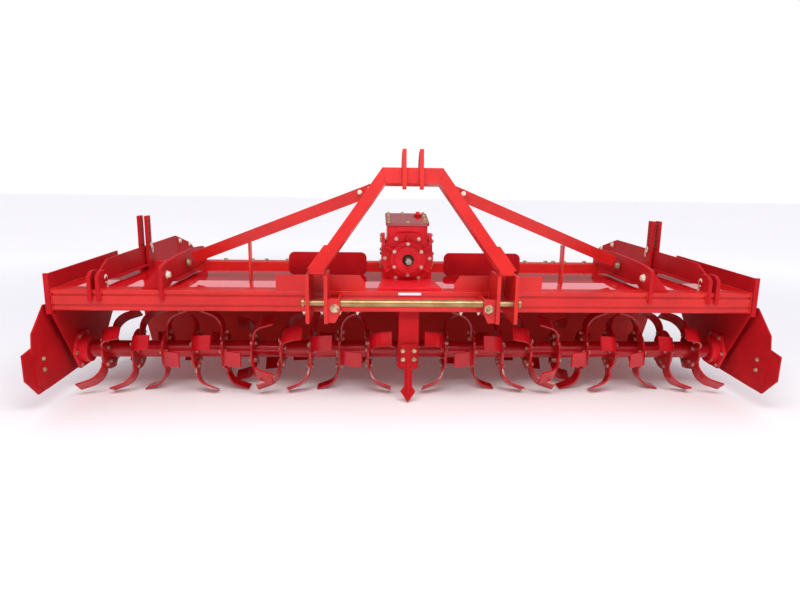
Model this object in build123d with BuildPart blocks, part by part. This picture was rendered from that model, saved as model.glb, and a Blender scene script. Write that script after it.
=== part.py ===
from build123d import *
from math import atan, cos, radians, sin, tan
import os

# Mounted rotary tiller, working width 3.5 m, driven at the centre.
# Millimetres. X runs across the machine, Y from the tractor to the rear, Z up.
# The origin is on the floor, at the middle of the machine's length and width.
# Heights are above the floor, depths are behind the front beam's front face.

os.makedirs("parts", exist_ok=True)

# driving dimensions
front = -725.7              # Y of the front beam's front face
body_half = 1900.0          # inner faces of the side plates
beam_top = 646.0            # top of the front beam
beam_height = 115.0
beam_depth = 100.0
beam_wall = 8.0
plate = 12.0                # side plates, arms and other heavy flat pieces
sheet = 6.0                 # deck and trailing board
body_depth = 900.0          # front face of the beam to the rear end of the side plates
hitch_spread = 965.0        # lower hitch points, category III
hitch_height = 620.0
hitch_reach = 190.0         # lower hitch pins in front of the beam
rotor_depth = 291.0         # rotor axis behind the beam's face
tip_radius = 245.0
blade_half = 40.0           # half the width of a blade's foot
flange_count = 10           # blade flanges on each half of the rotor
flange_first = 226.0        # middle flange to the centre plane
flange_edge = 162.0          # outermost flange to the side plate
bearing_clear = 0.08        # radial clearance of a shaft in its bearing
running_gap = 6.0           # clear space between a moving piece and a fixed one
seat = 0.3                  # clearance between pieces bolted together

beam_bottom = beam_top - beam_height
rotor_height = (tip_radius**2 - blade_half**2) ** 0.5   # a blade's flat foot stands on the ground
deck_top = beam_top


def depth_plane(x):
    """Upright plane across X: sketch x is depth behind the beam face, sketch y is height."""
    return Plane(origin=(x, front, 0), x_dir=(0, 1, 0), z_dir=(1, 0, 0))


def width_plane(depth):
    """Upright plane that faces the rear: sketch x runs to -X, sketch y is height."""
    return Plane(origin=(0, front + depth, 0), x_dir=(-1, 0, 0), z_dir=(0, 1, 0))


def level_plane(height):
    """Flat plane: sketch x is X, sketch y is depth behind the beam face."""
    return Plane(origin=(0, front, height), x_dir=(1, 0, 0), z_dir=(0, 0, 1))


single = {}
paired = {}

# ---------------------------------------------------------------- front beam
# Rolled box section with two grooves along its front face.
groove_drop = (28.0, 84.0)
groove_depth = (7.0, 6.0)
groove_width = 12.0
with BuildPart() as front_beam:
    with BuildSketch(depth_plane(-body_half)) as beam_section:
        with Locations((beam_depth / 2, beam_top - beam_height / 2)):
            Rectangle(beam_depth, beam_height)
        fillet(beam_section.vertices().group_by(Axis.Y)[0], 10)
        fillet(beam_section.vertices().group_by(Axis.Y)[-1].sort_by(Axis.X)[0], 6)
        for drop, cut in zip(groove_drop, groove_depth):
            with Locations((0, beam_top - drop)):
                Rectangle(2 * cut, groove_width, mode=Mode.SUBTRACT)
        with Locations((beam_depth / 2 + 2, beam_top - beam_height / 2)):
            Rectangle(beam_depth - 2 * beam_wall - 4, beam_height - 2 * beam_wall, mode=Mode.SUBTRACT)
    extrude(amount=2 * body_half)
single["front_beam"] = front_beam

# ---------------------------------------------------------------- rear beam
rear_beam_top = 690.0
rear_beam_height = 80.0
rear_beam_depth = 70.0
rear_beam_front = body_depth - rear_beam_depth
with BuildPart() as rear_beam:
    with BuildSketch(depth_plane(-body_half)) as rear_section:
        with Locations((rear_beam_front + rear_beam_depth / 2, rear_beam_top - rear_beam_height / 2)):
            Rectangle(rear_beam_depth, rear_beam_height)
        fillet(rear_section.vertices(), 8)
        with Locations((rear_beam_front + rear_beam_depth / 2, rear_beam_top - rear_beam_height / 2)):
            Rectangle(rear_beam_depth - 2 * sheet, rear_beam_height - 2 * sheet, mode=Mode.SUBTRACT)
    extrude(amount=2 * body_half)
single["rear_beam"] = rear_beam

# ---------------------------------------------------------------- deck
# Flat cover between the beams with a lip down the back and an opening for the drive case.
case_width = 110.0
case_front = 42.0
case_rear = 470.0
with BuildPart() as deck:
    with BuildSketch(level_plane(deck_top - sheet)):
        with Locations((0, (beam_depth + rear_beam_front) / 2)):
            Rectangle(2 * body_half, rear_beam_front - beam_depth)
        with Locations((0, (beam_depth + case_rear) / 2 + seat)):
            Rectangle(case_width + 2 * seat, case_rear - beam_depth + 2 * seat, mode=Mode.SUBTRACT)
    extrude(amount=sheet)
single["deck"] = deck

# ---------------------------------------------------------------- side plates
# A bar along the front edge stiffens each plate and closes the beam's end.
side_top = 731.0
side_low = 171.0
edge_bar = 26.0
with BuildPart() as side_plate:
    with BuildSketch(depth_plane(body_half)):
        with BuildLine():
            Polyline(
                (0, side_top),
                (0, beam_bottom - 12),
                (234, side_low),
                (420, side_low - 10),
                (640, 250),
                (850, 470),
                (body_depth, 600),
                (body_depth, side_top + 12),
                close=True,
            )
        make_face()
    extrude(amount=plate)
    with BuildSketch(depth_plane(body_half)):
        with BuildLine():
            Polyline(
                (-14, side_top + 2),
                (-14, beam_bottom - 16),
                (0, beam_bottom - 16),
                (0, side_top + 2),
                close=True,
            )
        make_face()
    extrude(amount=edge_bar)
paired["side_plate"] = side_plate

# ---------------------------------------------------------------- side shields
# Outer plate that keeps the soil in, with a bolted nose that runs ahead of the beam.
shield_x = body_half + plate + 36.0
shield_plate = 8.0
with BuildPart() as side_shield:
    with BuildSketch(depth_plane(shield_x)):
        with BuildLine():
            Polyline(
                (8, 562),
                (-130, 436),
                (-146, 330),
                (-120, 150),
                (-30, 105),
                (440, 118),
                (560, 240),
                (560, 500),
                close=True,
            )
        make_face()
    extrude(amount=shield_plate)
    # spacer blocks between the shield and the side plate
    with Locations(Pos(body_half + plate, front + 250, 450), Pos(body_half + plate, front + 420, 300)):
        Box(36, 60, 60, align=(Align.MIN, Align.CENTER, Align.CENTER))
paired["side_shield"] = side_shield

with BuildPart() as shield_nose:
    with BuildSketch(depth_plane(shield_x + shield_plate)):
        with BuildLine():
            Polyline(
                (-134, 360),
                (-222, 346),
                (-218, 210),
                (-104, 100),
                (60, 104),
                (60, 240),
                (-60, 366),
                close=True,
            )
        make_face()
    extrude(amount=shield_plate)
paired["shield_nose"] = shield_nose

# ---------------------------------------------------------------- lower hitch
# Two plates on each side carry the lower hitch pin; they are welded to the beam's face.
hitch_plate = 18.0
hitch_gap = 74.0
hitch_front = 236.0
pin_radius = 12.5
bushing_radius = 14.3        # lower link pins, category II
hitch_x = hitch_spread / 2
plate_offset = (hitch_gap + hitch_plate) / 2
with BuildPart() as hitch_plates:
    for middle in (hitch_x - plate_offset, hitch_x + plate_offset):
        with BuildSketch(depth_plane(middle - hitch_plate / 2)) as hitch_outline:
            with BuildLine():
                Polyline(
                    (0, 518),
                    (-hitch_front, 518),
                    (-hitch_front, 768),
                    (-40, 768),
                    (0, 720),
                    close=True,
                )
            make_face()
            fillet(hitch_outline.vertices().group_by(Axis.Y)[0], 14)
            with Locations((-hitch_reach, hitch_height)):
                Circle(pin_radius + seat, mode=Mode.SUBTRACT)
        extrude(amount=hitch_plate)
paired["hitch_plates"] = hitch_plates

# ---------------------------------------------------------------- hitch bar
# One rod runs through all four plates; a zinc-plated tube covers it between the brackets.
tube_half = 362.0
bar_radius = 19.0
bar_end = hitch_x + plate_offset + hitch_plate / 2 + 22.0
with BuildPart() as hitch_bar:
    with BuildSketch(depth_plane(-bar_end)):
        with Locations((-hitch_reach, hitch_height)):
            Circle(pin_radius)
    extrude(amount=2 * bar_end)
    with BuildSketch(depth_plane(-tube_half)):
        with Locations((-hitch_reach, hitch_height)):
            Circle(bar_radius)
    extrude(amount=2 * tube_half)
    # bushings between each pair of plates take the tractor's lower links
    for x in (-hitch_x, hitch_x):
        with BuildSketch(depth_plane(x - hitch_gap / 2 + seat)):
            with Locations((-hitch_reach, hitch_height)):
                Circle(bushing_radius)
        extrude(amount=hitch_gap - 2 * seat)
    for x in (-bar_end, bar_end - 12):
        with BuildSketch(depth_plane(x)):
            with Locations((-hitch_reach, hitch_height)):
                Circle(pin_radius + 9)
        extrude(amount=12)
single["hitch_bar"] = hitch_bar

# tapered bracket beside the inner hitch plate, with a leg back to the beam
bracket_in = 366.0
bracket_out = hitch_x - plate_offset - hitch_plate / 2
bracket_back = -hitch_reach - pin_radius - seat
with BuildPart() as bar_bracket:
    with BuildSketch(width_plane(bracket_back - plate)):
        with BuildLine():
            Polyline(
                (-bracket_in, 646),
                (-bracket_in, 570),
                (-bracket_in - 24, 522),
                (-bracket_out, 522),
                (-bracket_out, 646),
                close=True,
            )
        make_face()
    extrude(amount=plate)
    with BuildSketch(depth_plane(bracket_in)):
        with BuildLine():
            Polyline(
                (bracket_back, 642),
                (bracket_back, 575),
                (0, 545),
                (0, 642),
                close=True,
            )
        make_face()
        with Locations((-hitch_reach, hitch_height)):
            Circle(pin_radius + seat, mode=Mode.SUBTRACT)
    extrude(amount=plate)
paired["bar_bracket"] = bar_bracket

# ---------------------------------------------------------------- mast
# Bent box-section frame: two legs between the hitch plates, leaning back to the head.
mast_section = hitch_gap - 2 * seat
mast_foot_depth = -113.4
mast_foot_height = 752.0
mast_head_depth = 5.0
mast_head_height = 1283.0
mast_head_half = 155.0
mast_side = 80.0
strap_plate = 12.0
strap_rise = 150.0
foot_rise = 21.0             # straight part of each leg between the hitch plates
leg_foot_x = hitch_x
lean = (mast_head_depth - mast_foot_depth) / (mast_head_height - mast_foot_height)
lean_plane = Plane(
    origin=(0, front + mast_foot_depth, mast_foot_height),
    x_dir=(1, 0, 0),
    z_dir=(0, -1, lean),
)
mast_rise = (mast_head_height - mast_foot_height) * (1 + lean**2) ** 0.5
with BuildPart() as mast:
    with BuildSketch(lean_plane) as mast_outline:
        with BuildLine():
            Polyline(
                (leg_foot_x - mast_section / 2, 0),
                (leg_foot_x + mast_section / 2, 0),
                (leg_foot_x + mast_section / 2, foot_rise),
                (mast_head_half, mast_rise),
                (-mast_head_half, mast_rise),
                (-leg_foot_x - mast_section / 2, foot_rise),
                (-leg_foot_x - mast_section / 2, 0),
                (-leg_foot_x + mast_section / 2, 0),
                (-leg_foot_x + mast_section / 2, foot_rise),
                (-mast_head_half + 16, mast_rise - mast_side),
                (mast_head_half - 16, mast_rise - mast_side),
                (leg_foot_x - mast_section / 2, foot_rise),
                close=True,
            )
        make_face()
    extrude(amount=mast_side)
    # straps that carry the outer hitch plates up the legs' outer faces
    leg_angle = atan((leg_foot_x + mast_section / 2 - mast_head_half) / (mast_rise - foot_rise))
    strap_width = strap_plate / cos(leg_angle)
    for side in (-1, 1):
        with BuildSketch(lean_plane) as strap_outline:
            with BuildLine():
                Polyline(
                    (side * (leg_foot_x + mast_section / 2 + strap_width), foot_rise + 2),
                    (
                        side * (leg_foot_x + mast_section / 2 + strap_width - strap_rise * sin(leg_angle)),
                        foot_rise + 2 + strap_rise * cos(leg_angle),
                    ),
                    (
                        side * (leg_foot_x + mast_section / 2 - 4 - strap_rise * sin(leg_angle)),
                        foot_rise + 2 + strap_rise * cos(leg_angle),
                    ),
                    (side * (leg_foot_x + mast_section / 2 - 4), foot_rise + 2),
                    close=True,
                )
            make_face()
        extrude(amount=mast_side)
single["mast"] = mast

# ---------------------------------------------------------------- top link ears
# Two plates hooked over the mast's head; sketch x and y follow the mast's lean.
ear_plate = 20.0
ear_gap = 68.0
ear_bore = 16.1
ear_front = 32.0
with BuildPart() as top_link_ears:
    for x in (-ear_gap / 2 - ear_plate, ear_gap / 2):
        ear_plane = Plane(
            origin=(x, front + mast_head_depth, mast_head_height),
            x_dir=(0, 1, -lean),
            z_dir=(1, 0, 0),
        )
        with BuildSketch(ear_plane) as ear_outline:
            with BuildLine():
                Polyline(
                    (-mast_side - ear_front, -mast_side - 32),
                    (-mast_side - seat, -mast_side - 32),
                    (-mast_side - seat, seat),
                    (26, seat),
                    (26, 40),
                    (-30, 88),
                    (-mast_side - ear_front, 88),
                    close=True,
                )
            make_face()
            with Locations((-mast_side + 14, 50)):
                Circle(ear_bore, mode=Mode.SUBTRACT)
        extrude(amount=ear_plate)
single["top_link_ears"] = top_link_ears

# ---------------------------------------------------------------- stay brackets
# Arched plate from the beam's face over the deck to the rear beam, with a corner gusset.
stay_edge = 580.0            # stay bracket to the side plate
stay_x = body_half - stay_edge
stay_plate = 20.0
with BuildPart() as stay_bracket:
    with BuildSketch(depth_plane(stay_x - stay_plate / 2)):
        with BuildLine():
            Polyline(
                (0, beam_top),
                (0, beam_top - 56),
                (-16, beam_top - 56),
                (-16, 768),
                (60, 784),
                (240, 796),
                (560, 805),
                (810, 790),
                (884, 756),
                (884, rear_beam_top),
                (rear_beam_front + 8, rear_beam_top),
                (rear_beam_front - 20, rear_beam_top - 4),
                (620, 666),
                (150, 666),
                (90, beam_top),
                close=True,
            )
        make_face()
    extrude(amount=stay_plate)
    # strip along the inner side of the lower edge
    with Locations((stay_x - stay_plate / 2 - 14, front + 380, 670)):
        Box(28, 440, 8)
    with BuildSketch(width_plane(22)):
        with BuildLine():
            Polyline(
                (-stay_x - stay_plate / 2, beam_top),
                (-stay_x - stay_plate / 2 - 108, beam_top),
                (-stay_x - stay_plate / 2, 772),
                close=True,
            )
        make_face()
    extrude(amount=plate)
paired["stay_bracket"] = stay_bracket

# ---------------------------------------------------------------- stay braces
# Angle bars from the mast's shoulders down and back to the stay brackets.
brace_width = 64.0
brace_thick = 10.0
brace_top = (224.0, -8.0, mast_head_height - 104)
brace_low = (stay_x - stay_plate / 2 - brace_thick, 380.0, 752.0)
brace_run = Vector(*brace_low) - Vector(*brace_top)
brace_plane = Plane(
    origin=(brace_top[0], front + brace_top[1], brace_top[2]),
    x_dir=(0, 1, 0),
    z_dir=tuple(brace_run.normalized()),
)
with BuildPart() as stay_brace:
    with BuildSketch(brace_plane):
        Rectangle(brace_thick, brace_width)
        with Locations((brace_width / 2 - brace_thick / 2, brace_width / 2 - brace_thick / 2)):
            Rectangle(brace_width, brace_thick)
    extrude(amount=brace_run.length - 60)
paired["stay_brace"] = stay_brace

# struts between the deck and the braces
strut_x = 900.0
strut_depth = 262.0
brace_slope = -brace_run.Z / brace_run.X
strut_top = brace_top[2] - (strut_x + plate / 2 - brace_top[0]) * brace_slope - brace_width / 2 / cos(radians(22.5))
with BuildPart() as stay_strut:
    with BuildSketch(level_plane(deck_top)):
        with Locations((strut_x, strut_depth)):
            Rectangle(plate, 50)
    extrude(amount=strut_top - deck_top)
paired["stay_strut"] = stay_strut

# ---------------------------------------------------------------- arm clevises
# Two plates hooked over the beam hold each rear arm's pivot pin.
arm_edge = 228.0             # rear arm to the side plate
arm_x = body_half - arm_edge
clevis_gap = plate + 2 * running_gap
clevis_plate = 20.0
pivot_depth = 62.0
pivot_rise = 48.0            # pivot above the beam
pivot_height = beam_top + pivot_rise
pivot_radius = 12.5
with BuildPart() as arm_clevis:
    for x in (arm_x - clevis_gap / 2 - clevis_plate, arm_x + clevis_gap / 2):
        with BuildSketch(depth_plane(x)):
            with BuildLine():
                Polyline(
                    (0, beam_top),
                    (0, beam_top - 60),
                    (-16, beam_top - 60),
                    (-16, pivot_height + 22),
                    (pivot_depth - 42, pivot_height + 48),
                    (pivot_depth + 16, pivot_height + 48),
                    (beam_depth, pivot_height + 6),
                    (beam_depth, beam_top),
                    close=True,
                )
            make_face()
            with Locations((pivot_depth, pivot_height)):
                Circle(pivot_radius + bearing_clear, mode=Mode.SUBTRACT)
        extrude(amount=clevis_plate)
paired["arm_clevis"] = arm_clevis

# ---------------------------------------------------------------- rear arms
# Long plates that swing on the clevis pins between the posts; the ends bend inwards.
post_plate = 18.0
post_gap = plate + 16.0
post_top = 985.0
post_front = 745.0
post_depth = 62.0
post_hole = 7.0
arm_crease = 1396.0
arm_end = 1690.0
arm_bend = 9.0
arm_drop = 84.0             # lower edge of the arm's rear half under the pivot
arm_low = rear_beam_top + running_gap
with BuildPart() as rear_arm:
    with BuildSketch(depth_plane(arm_x - plate / 2)):
        with BuildLine():
            Polyline(
                (pivot_depth - 30, pivot_height - 16),
                (pivot_depth - 30, pivot_height + 22),
                (pivot_depth + 124, pivot_height + 92),
                (arm_crease, pivot_height + 103),
                (arm_crease, pivot_height - arm_drop),
                (body_depth + 60, pivot_height - 40),
                (body_depth + 12, pivot_height - 20),
                (body_depth + 12, arm_low),
                (post_front + 30, arm_low),
                (post_front - 25, pivot_height - 24),
                (beam_depth + 14, pivot_height - 24),
                (pivot_depth + 10, pivot_height - 32),
                (pivot_depth - 10, pivot_height - 32),
                close=True,
            )
        make_face()
    extrude(amount=plate)
    # strip along the inner side of the lower edge, between the clevis and the posts
    with Locations((arm_x - plate / 2 - 14, front + 480, pivot_height - 20)):
        Box(28, 500, 8)
    tail = Plane(
        origin=(arm_x, front + arm_crease, 0),
        x_dir=(-sin(radians(arm_bend)), cos(radians(arm_bend)), 0),
        z_dir=(cos(radians(arm_bend)), sin(radians(arm_bend)), 0),
    )
    with BuildSketch(tail.offset(-plate / 2)):
        with BuildLine():
            Polyline(
                (-1, pivot_height + 103),
                (arm_end - arm_crease - 60, pivot_height + 28),
                (arm_end - arm_crease, pivot_height - 24),
                (arm_end - arm_crease, pivot_height - arm_drop - 10),
                (-1, pivot_height - arm_drop),
                close=True,
            )
        make_face()
    extrude(amount=plate)
    with BuildSketch(depth_plane(arm_x - clevis_gap / 2 - clevis_plate - 10)):
        with Locations((pivot_depth, pivot_height)):
            Circle(pivot_radius)
    extrude(amount=clevis_gap + 2 * clevis_plate + 20)
paired["rear_arm"] = rear_arm

# ---------------------------------------------------------------- arm posts
# Twin upright plates on the rear beam guide each arm and hold its stop pins.
with BuildPart() as arm_posts:
    for x in (arm_x - post_gap / 2 - post_plate, arm_x + post_gap / 2):
        with BuildSketch(depth_plane(x)) as post_outline:
            with BuildLine():
                Polyline(
                    (post_front, post_top),
                    (post_front + post_depth, post_top),
                    (post_front + post_depth, 760),
                    (rear_beam_front + 50, rear_beam_top),
                    (rear_beam_front, rear_beam_top),
                    (rear_beam_front, deck_top),
                    (post_front, deck_top),
                    close=True,
                )
            make_face()
            with Locations((post_front + post_depth / 2, post_top - 110)):
                with GridLocations(1, 25, 1, 7):
                    Circle(post_hole, mode=Mode.SUBTRACT)
        extrude(amount=post_plate)
paired["arm_posts"] = arm_posts

# ---------------------------------------------------------------- guard plates
guard_in = 240.0
guard_out = 720.0
front_guard_top = 732.0
rear_guard_top = 790.0
guard_sheet = 8.0
with BuildPart() as front_guard:
    with BuildSketch(width_plane(4)):
        with BuildLine():
            Polyline(
                (-guard_in, beam_top),
                (-guard_in, front_guard_top - 46),
                (-guard_in - 30, front_guard_top),
                (-guard_out, front_guard_top),
                (-guard_out, beam_top),
                close=True,
            )
        make_face()
    extrude(amount=guard_sheet)
paired["front_guard"] = front_guard

with BuildPart() as rear_guard:
    with BuildSketch(width_plane(540)) as rear_guard_outline:
        with Locations((-(guard_in + guard_out) / 2, (deck_top + rear_guard_top) / 2)):
            Rectangle(guard_out - guard_in, rear_guard_top - deck_top)
        fillet(rear_guard_outline.vertices().group_by(Axis.Z)[-1], 36)
    extrude(amount=guard_sheet)
paired["rear_guard"] = rear_guard

# ---------------------------------------------------------------- drive case
# Narrow casting through the deck that holds the chain of gears down to the rotor.
case_radius = 108.0
shaft_radius = 44.0
with BuildPart() as drive_case:
    with BuildSketch(depth_plane(-case_width / 2)) as case_outline:
        with BuildLine():
            Polyline(
                (beam_depth + 6, deck_top),
                (beam_depth + 6, 420),
                (rotor_depth - case_radius, rotor_height),
                (rotor_depth + case_radius, rotor_height),
                (case_rear, 520),
                (case_rear, deck_top),
                close=True,
            )
        make_face()
        with Locations((rotor_depth, rotor_height)):
            Circle(case_radius)
        with Locations((rotor_depth, rotor_height)):
            Circle(shaft_radius + running_gap, mode=Mode.SUBTRACT)
    extrude(amount=case_width)
single["drive_case"] = drive_case

# ---------------------------------------------------------------- gearbox
box_front = 330.0
box_rear = 610.0
box_half = 118.0
box_top = 974.0              # front edge of the sloping lid
lid_rise = 40.0
shaft_height = 785.0
foot_half = 174.0
foot_rear_half = 146.0
foot_front = 24.0
foot_top = 662.0
flange_radius = 151.0
lid_plane = Plane(
    origin=(0, front + box_front, box_top),
    x_dir=(1, 0, 0),
    z_dir=(0, -lid_rise, box_rear - box_front),
)
lid_length = ((box_rear - box_front) ** 2 + lid_rise**2) ** 0.5
with BuildPart() as gearbox:
    with BuildSketch(level_plane(deck_top)):
        with BuildLine():
            Polyline(
                (-foot_half, foot_front),
                (-foot_rear_half, box_front),
                (-foot_rear_half, box_rear),
                (foot_rear_half, box_rear),
                (foot_rear_half, box_front),
                (foot_half, foot_front),
                close=True,
            )
        make_face()
    extrude(amount=foot_top - deck_top)
    with BuildSketch(width_plane(box_front)):
        with BuildLine():
            Polyline(
                (-foot_rear_half, foot_top),
                (-box_half - 22, 780),
                (-box_half - 22, 840),
                (-box_half, 880),
                (-box_half, box_top + lid_rise),
                (box_half, box_top + lid_rise),
                (box_half, 880),
                (box_half + 22, 840),
                (box_half + 22, 780),
                (foot_rear_half, foot_top),
                close=True,
            )
        make_face()
    extrude(amount=box_rear - box_front)
    fillet(gearbox.edges().filter_by(Axis.Z).group_by(Axis.Z)[-1], 18)
    split(bisect_by=lid_plane, keep=Keep.BOTTOM)
    # round side covers and a pad across the front
    for side in (-1, 1):
        with BuildSketch(depth_plane(side * (box_half + 22))):
            with Locations(((box_front + box_rear) / 2, 808)):
                Circle(112)
        extrude(amount=10, both=True)
    with Locations((0, front + box_front, box_top - 20)):
        Box(132, 16, 26)
single["gearbox"] = gearbox

collar_radius = 28.0
hub_radius = 101.0
boss_radius = 75.0
with BuildPart() as gearbox_flange:
    with BuildSketch(width_plane(box_front - 22)):
        with Locations((0, shaft_height)):
            Circle(flange_radius)
        with Locations((0, foot_top - 60)):
            Rectangle(2 * flange_radius, 120, mode=Mode.SUBTRACT)
    extrude(amount=22 - seat)
    with BuildSketch(width_plane(box_front - 72)):
        with Locations((0, shaft_height)):
            Circle(hub_radius)
    extrude(amount=50)
    # radial ribs between the bolts; the foot takes the place of the lowest one
    for turn in (-120, -60, 0, 60, 120):
        with Locations(Pos(0, front + box_front - 22, shaft_height) * Rot(Y=turn)):
            with Locations((0, 0, 118)):
                Box(12, 26, 56, align=(Align.CENTER, Align.MAX, Align.CENTER))
    with BuildSketch(width_plane(box_front - 100)):
        with Locations((0, shaft_height)):
            Circle(boss_radius)
    extrude(amount=28)
    with BuildSketch(width_plane(box_front - 100)):
        with Locations((0, shaft_height)):
            Circle(collar_radius)
    extrude(amount=100 - seat, mode=Mode.SUBTRACT)
single["gearbox_flange"] = gearbox_flange

with BuildPart() as gearbox_cover:
    with BuildSketch(lid_plane) as cover_outline:
        with Locations((0, lid_length / 2)):
            Rectangle(2 * box_half + 20, lid_length + 16)
        fillet(cover_outline.vertices(), 20)
    extrude(amount=14)
    with BuildSketch(lid_plane.offset(14)):
        with Locations((box_half - 46, lid_length - 70)):
            Circle(26)
    extrude(amount=10)
single["gearbox_cover"] = gearbox_cover

# ---------------------------------------------------------------- input shaft
spline_radius = 17.4
spline_root = 14.5
with BuildPart() as input_shaft:
    with BuildSketch(width_plane(150)):
        with Locations((0, shaft_height)):
            Circle(spline_root)
            with PolarLocations(0, 6):
                Rectangle(2 * spline_radius, 8.5)
    extrude(amount=80)
    with BuildSketch(width_plane(230)):
        with Locations((0, shaft_height)):
            Circle(collar_radius - bearing_clear)
    extrude(amount=box_front - 230 - 4)
single["input_shaft"] = input_shaft

# ---------------------------------------------------------------- tine holder
holder_low = 196.0
tine_tip = 2.0
clamp_top = 342.0
clamp_low = 214.0
clamp_half = 46.0
shank_half = 22.0
with BuildPart() as tine_holder:
    with BuildSketch(width_plane(case_front)):
        with Locations((0, (beam_bottom + holder_low) / 2)):
            Rectangle(case_width, beam_bottom - holder_low)
    extrude(amount=16)
    for x in (-case_width / 2, case_width / 2 - plate):
        with BuildSketch(depth_plane(x)):
            with BuildLine():
                Polyline(
                    (case_front, beam_bottom),
                    (case_front, holder_low + 20),
                    (case_front + 60, holder_low + 30),
                    (beam_depth + 6 - seat, 425),
                    (beam_depth + 6 - seat, beam_bottom),
                    close=True,
                )
            make_face()
        extrude(amount=plate)
single["tine_holder"] = tine_holder

with BuildPart() as centre_tine:
    with BuildSketch(width_plane(case_front - 14)):
        with BuildLine():
            Polyline(
                (-clamp_half, clamp_top),
                (-clamp_half, clamp_low),
                (-shank_half, clamp_low - 12),
                (-shank_half, 96),
                (-42, 66),
                (0, tine_tip),
                (42, 66),
                (shank_half, 96),
                (shank_half, clamp_low - 12),
                (clamp_half, clamp_low),
                (clamp_half, clamp_top),
                close=True,
            )
        make_face()
    extrude(amount=14 - seat)
    with BuildSketch(depth_plane(-7)):
        with BuildLine():
            Polyline(
                (case_front - 14, 240),
                (case_front - 30, 225),
                (case_front - 30, 60),
                (case_front - 14, 20),
                close=True,
            )
        make_face()
    extrude(amount=14)
single["centre_tine"] = centre_tine

# ---------------------------------------------------------------- end bearings
bearing_width = 60.0
stub_radius = 30.0
with BuildPart() as end_bearing:
    with BuildSketch(depth_plane(body_half - 14)):
        with Locations((rotor_depth, rotor_height)):
            RegularPolygon(118, 6)
            Circle(stub_radius + bearing_clear, mode=Mode.SUBTRACT)
    extrude(amount=14 - seat)
    with BuildSketch(depth_plane(body_half - bearing_width)):
        with Locations((rotor_depth, rotor_height)):
            Circle(76)
            Circle(stub_radius + bearing_clear, mode=Mode.SUBTRACT)
    extrude(amount=bearing_width - 14)
paired["end_bearing"] = end_bearing

# ---------------------------------------------------------------- rotor
# Two tubes with bolt-on curved blades, joined by the shaft through the drive case.
tube_radius = 49.0
tube_wall = 9.0
flange_disc = 118.0
flange_plate = 12.0
blade_plate = 10.0
blade_reach = 128.0
# turn of each flange's blades from upright, from the middle outwards, and the flanges
# whose lower blade reaches outwards
flange_turns = (60, 90, 66, 52, 30, 90, 66, 90, 66, 52)
reach_out = (False, True, True, True, False, False, False, True, True, True)
tube_end = body_half - bearing_width - running_gap
tube_start = case_width / 2 + running_gap

blade_rise = tan(radians(20)) * (blade_reach - blade_plate / 2)
blade_corner = rotor_height - blade_plate / 2 * cos(radians(20)) - blade_rise
with BuildPart() as blade:
    # bent strip: an upright leg that sweeps round into a foot reaching sideways
    with BuildSketch(Plane.XZ):
        with BuildLine() as bent_line:
            FilletPolyline(
                (blade_plate / 2, 50),
                (blade_plate / 2, blade_corner),
                (blade_reach, blade_corner + blade_rise),
                radius=95,
            )
        trace(bent_line.line, line_width=blade_plate)
    extrude(amount=60, both=True)
    # curved outline in the plane of rotation; the foot trails behind the root
    with BuildSketch(Plane.YZ.offset(-10)):
        with BuildLine():
            Line((-46, 54), (10, 62))
            ThreePointArc((10, 62), (blade_half - 1, 160), (blade_half, tip_radius))
            Line((blade_half, tip_radius), (-blade_half, tip_radius))
            ThreePointArc((-blade_half, tip_radius), (-blade_half - 4, 150), (-46, 54))
        make_face()
    extrude(amount=blade_reach + 20, mode=Mode.INTERSECT)

with BuildPart() as blade_mirror:
    mirror(blade.part, about=Plane.YZ)

flange_step = (body_half - flange_edge - flange_first) / (flange_count - 1)
with BuildPart() as rotor:
    for side in (-1, 1):
        with BuildSketch(depth_plane(side * (tube_start + tube_end) / 2)):
            with Locations((rotor_depth, rotor_height)):
                Circle(tube_radius)
                Circle(tube_radius - tube_wall, mode=Mode.SUBTRACT)
        extrude(amount=(tube_end - tube_start) / 2, both=True)
        # end plug with the bearing stub
        with BuildSketch(depth_plane(side * (tube_end - 12))):
            with Locations((rotor_depth, rotor_height)):
                Circle(tube_radius)
        extrude(amount=12, both=True)
        with BuildSketch(depth_plane(side * (tube_end + 24))):
            with Locations((rotor_depth, rotor_height)):
                Circle(stub_radius)
        extrude(amount=36, both=True)
    # shaft through the drive case, plugged into both tubes
    with BuildSketch(depth_plane(0)):
        with Locations((rotor_depth, rotor_height)):
            Circle(shaft_radius)
    extrude(amount=tube_start + 20, both=True)
    for side in (-1, 1):
        for index in range(flange_count):
            middle = side * (flange_first + index * flange_step)
            with BuildSketch(depth_plane(middle - flange_plate / 2)):
                with Locations((rotor_depth, rotor_height)):
                    Circle(flange_disc)
                    Circle(tube_radius - 1, mode=Mode.SUBTRACT)
            extrude(amount=flange_plate)
            # the blade towards the tractor reaches inwards, the one behind it outwards
            lower = 1 if reach_out[index] else -1
            for quarter, reach in enumerate((-1, lower, 1, -lower)):
                hand = side * reach
                piece = blade if hand == 1 else blade_mirror
                turn = flange_turns[index] + 90 * quarter
                place = Pos(middle + hand * flange_plate / 2, front + rotor_depth, rotor_height)
                add(place * Rot(X=turn) * piece.part)
single["rotor"] = rotor

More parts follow.
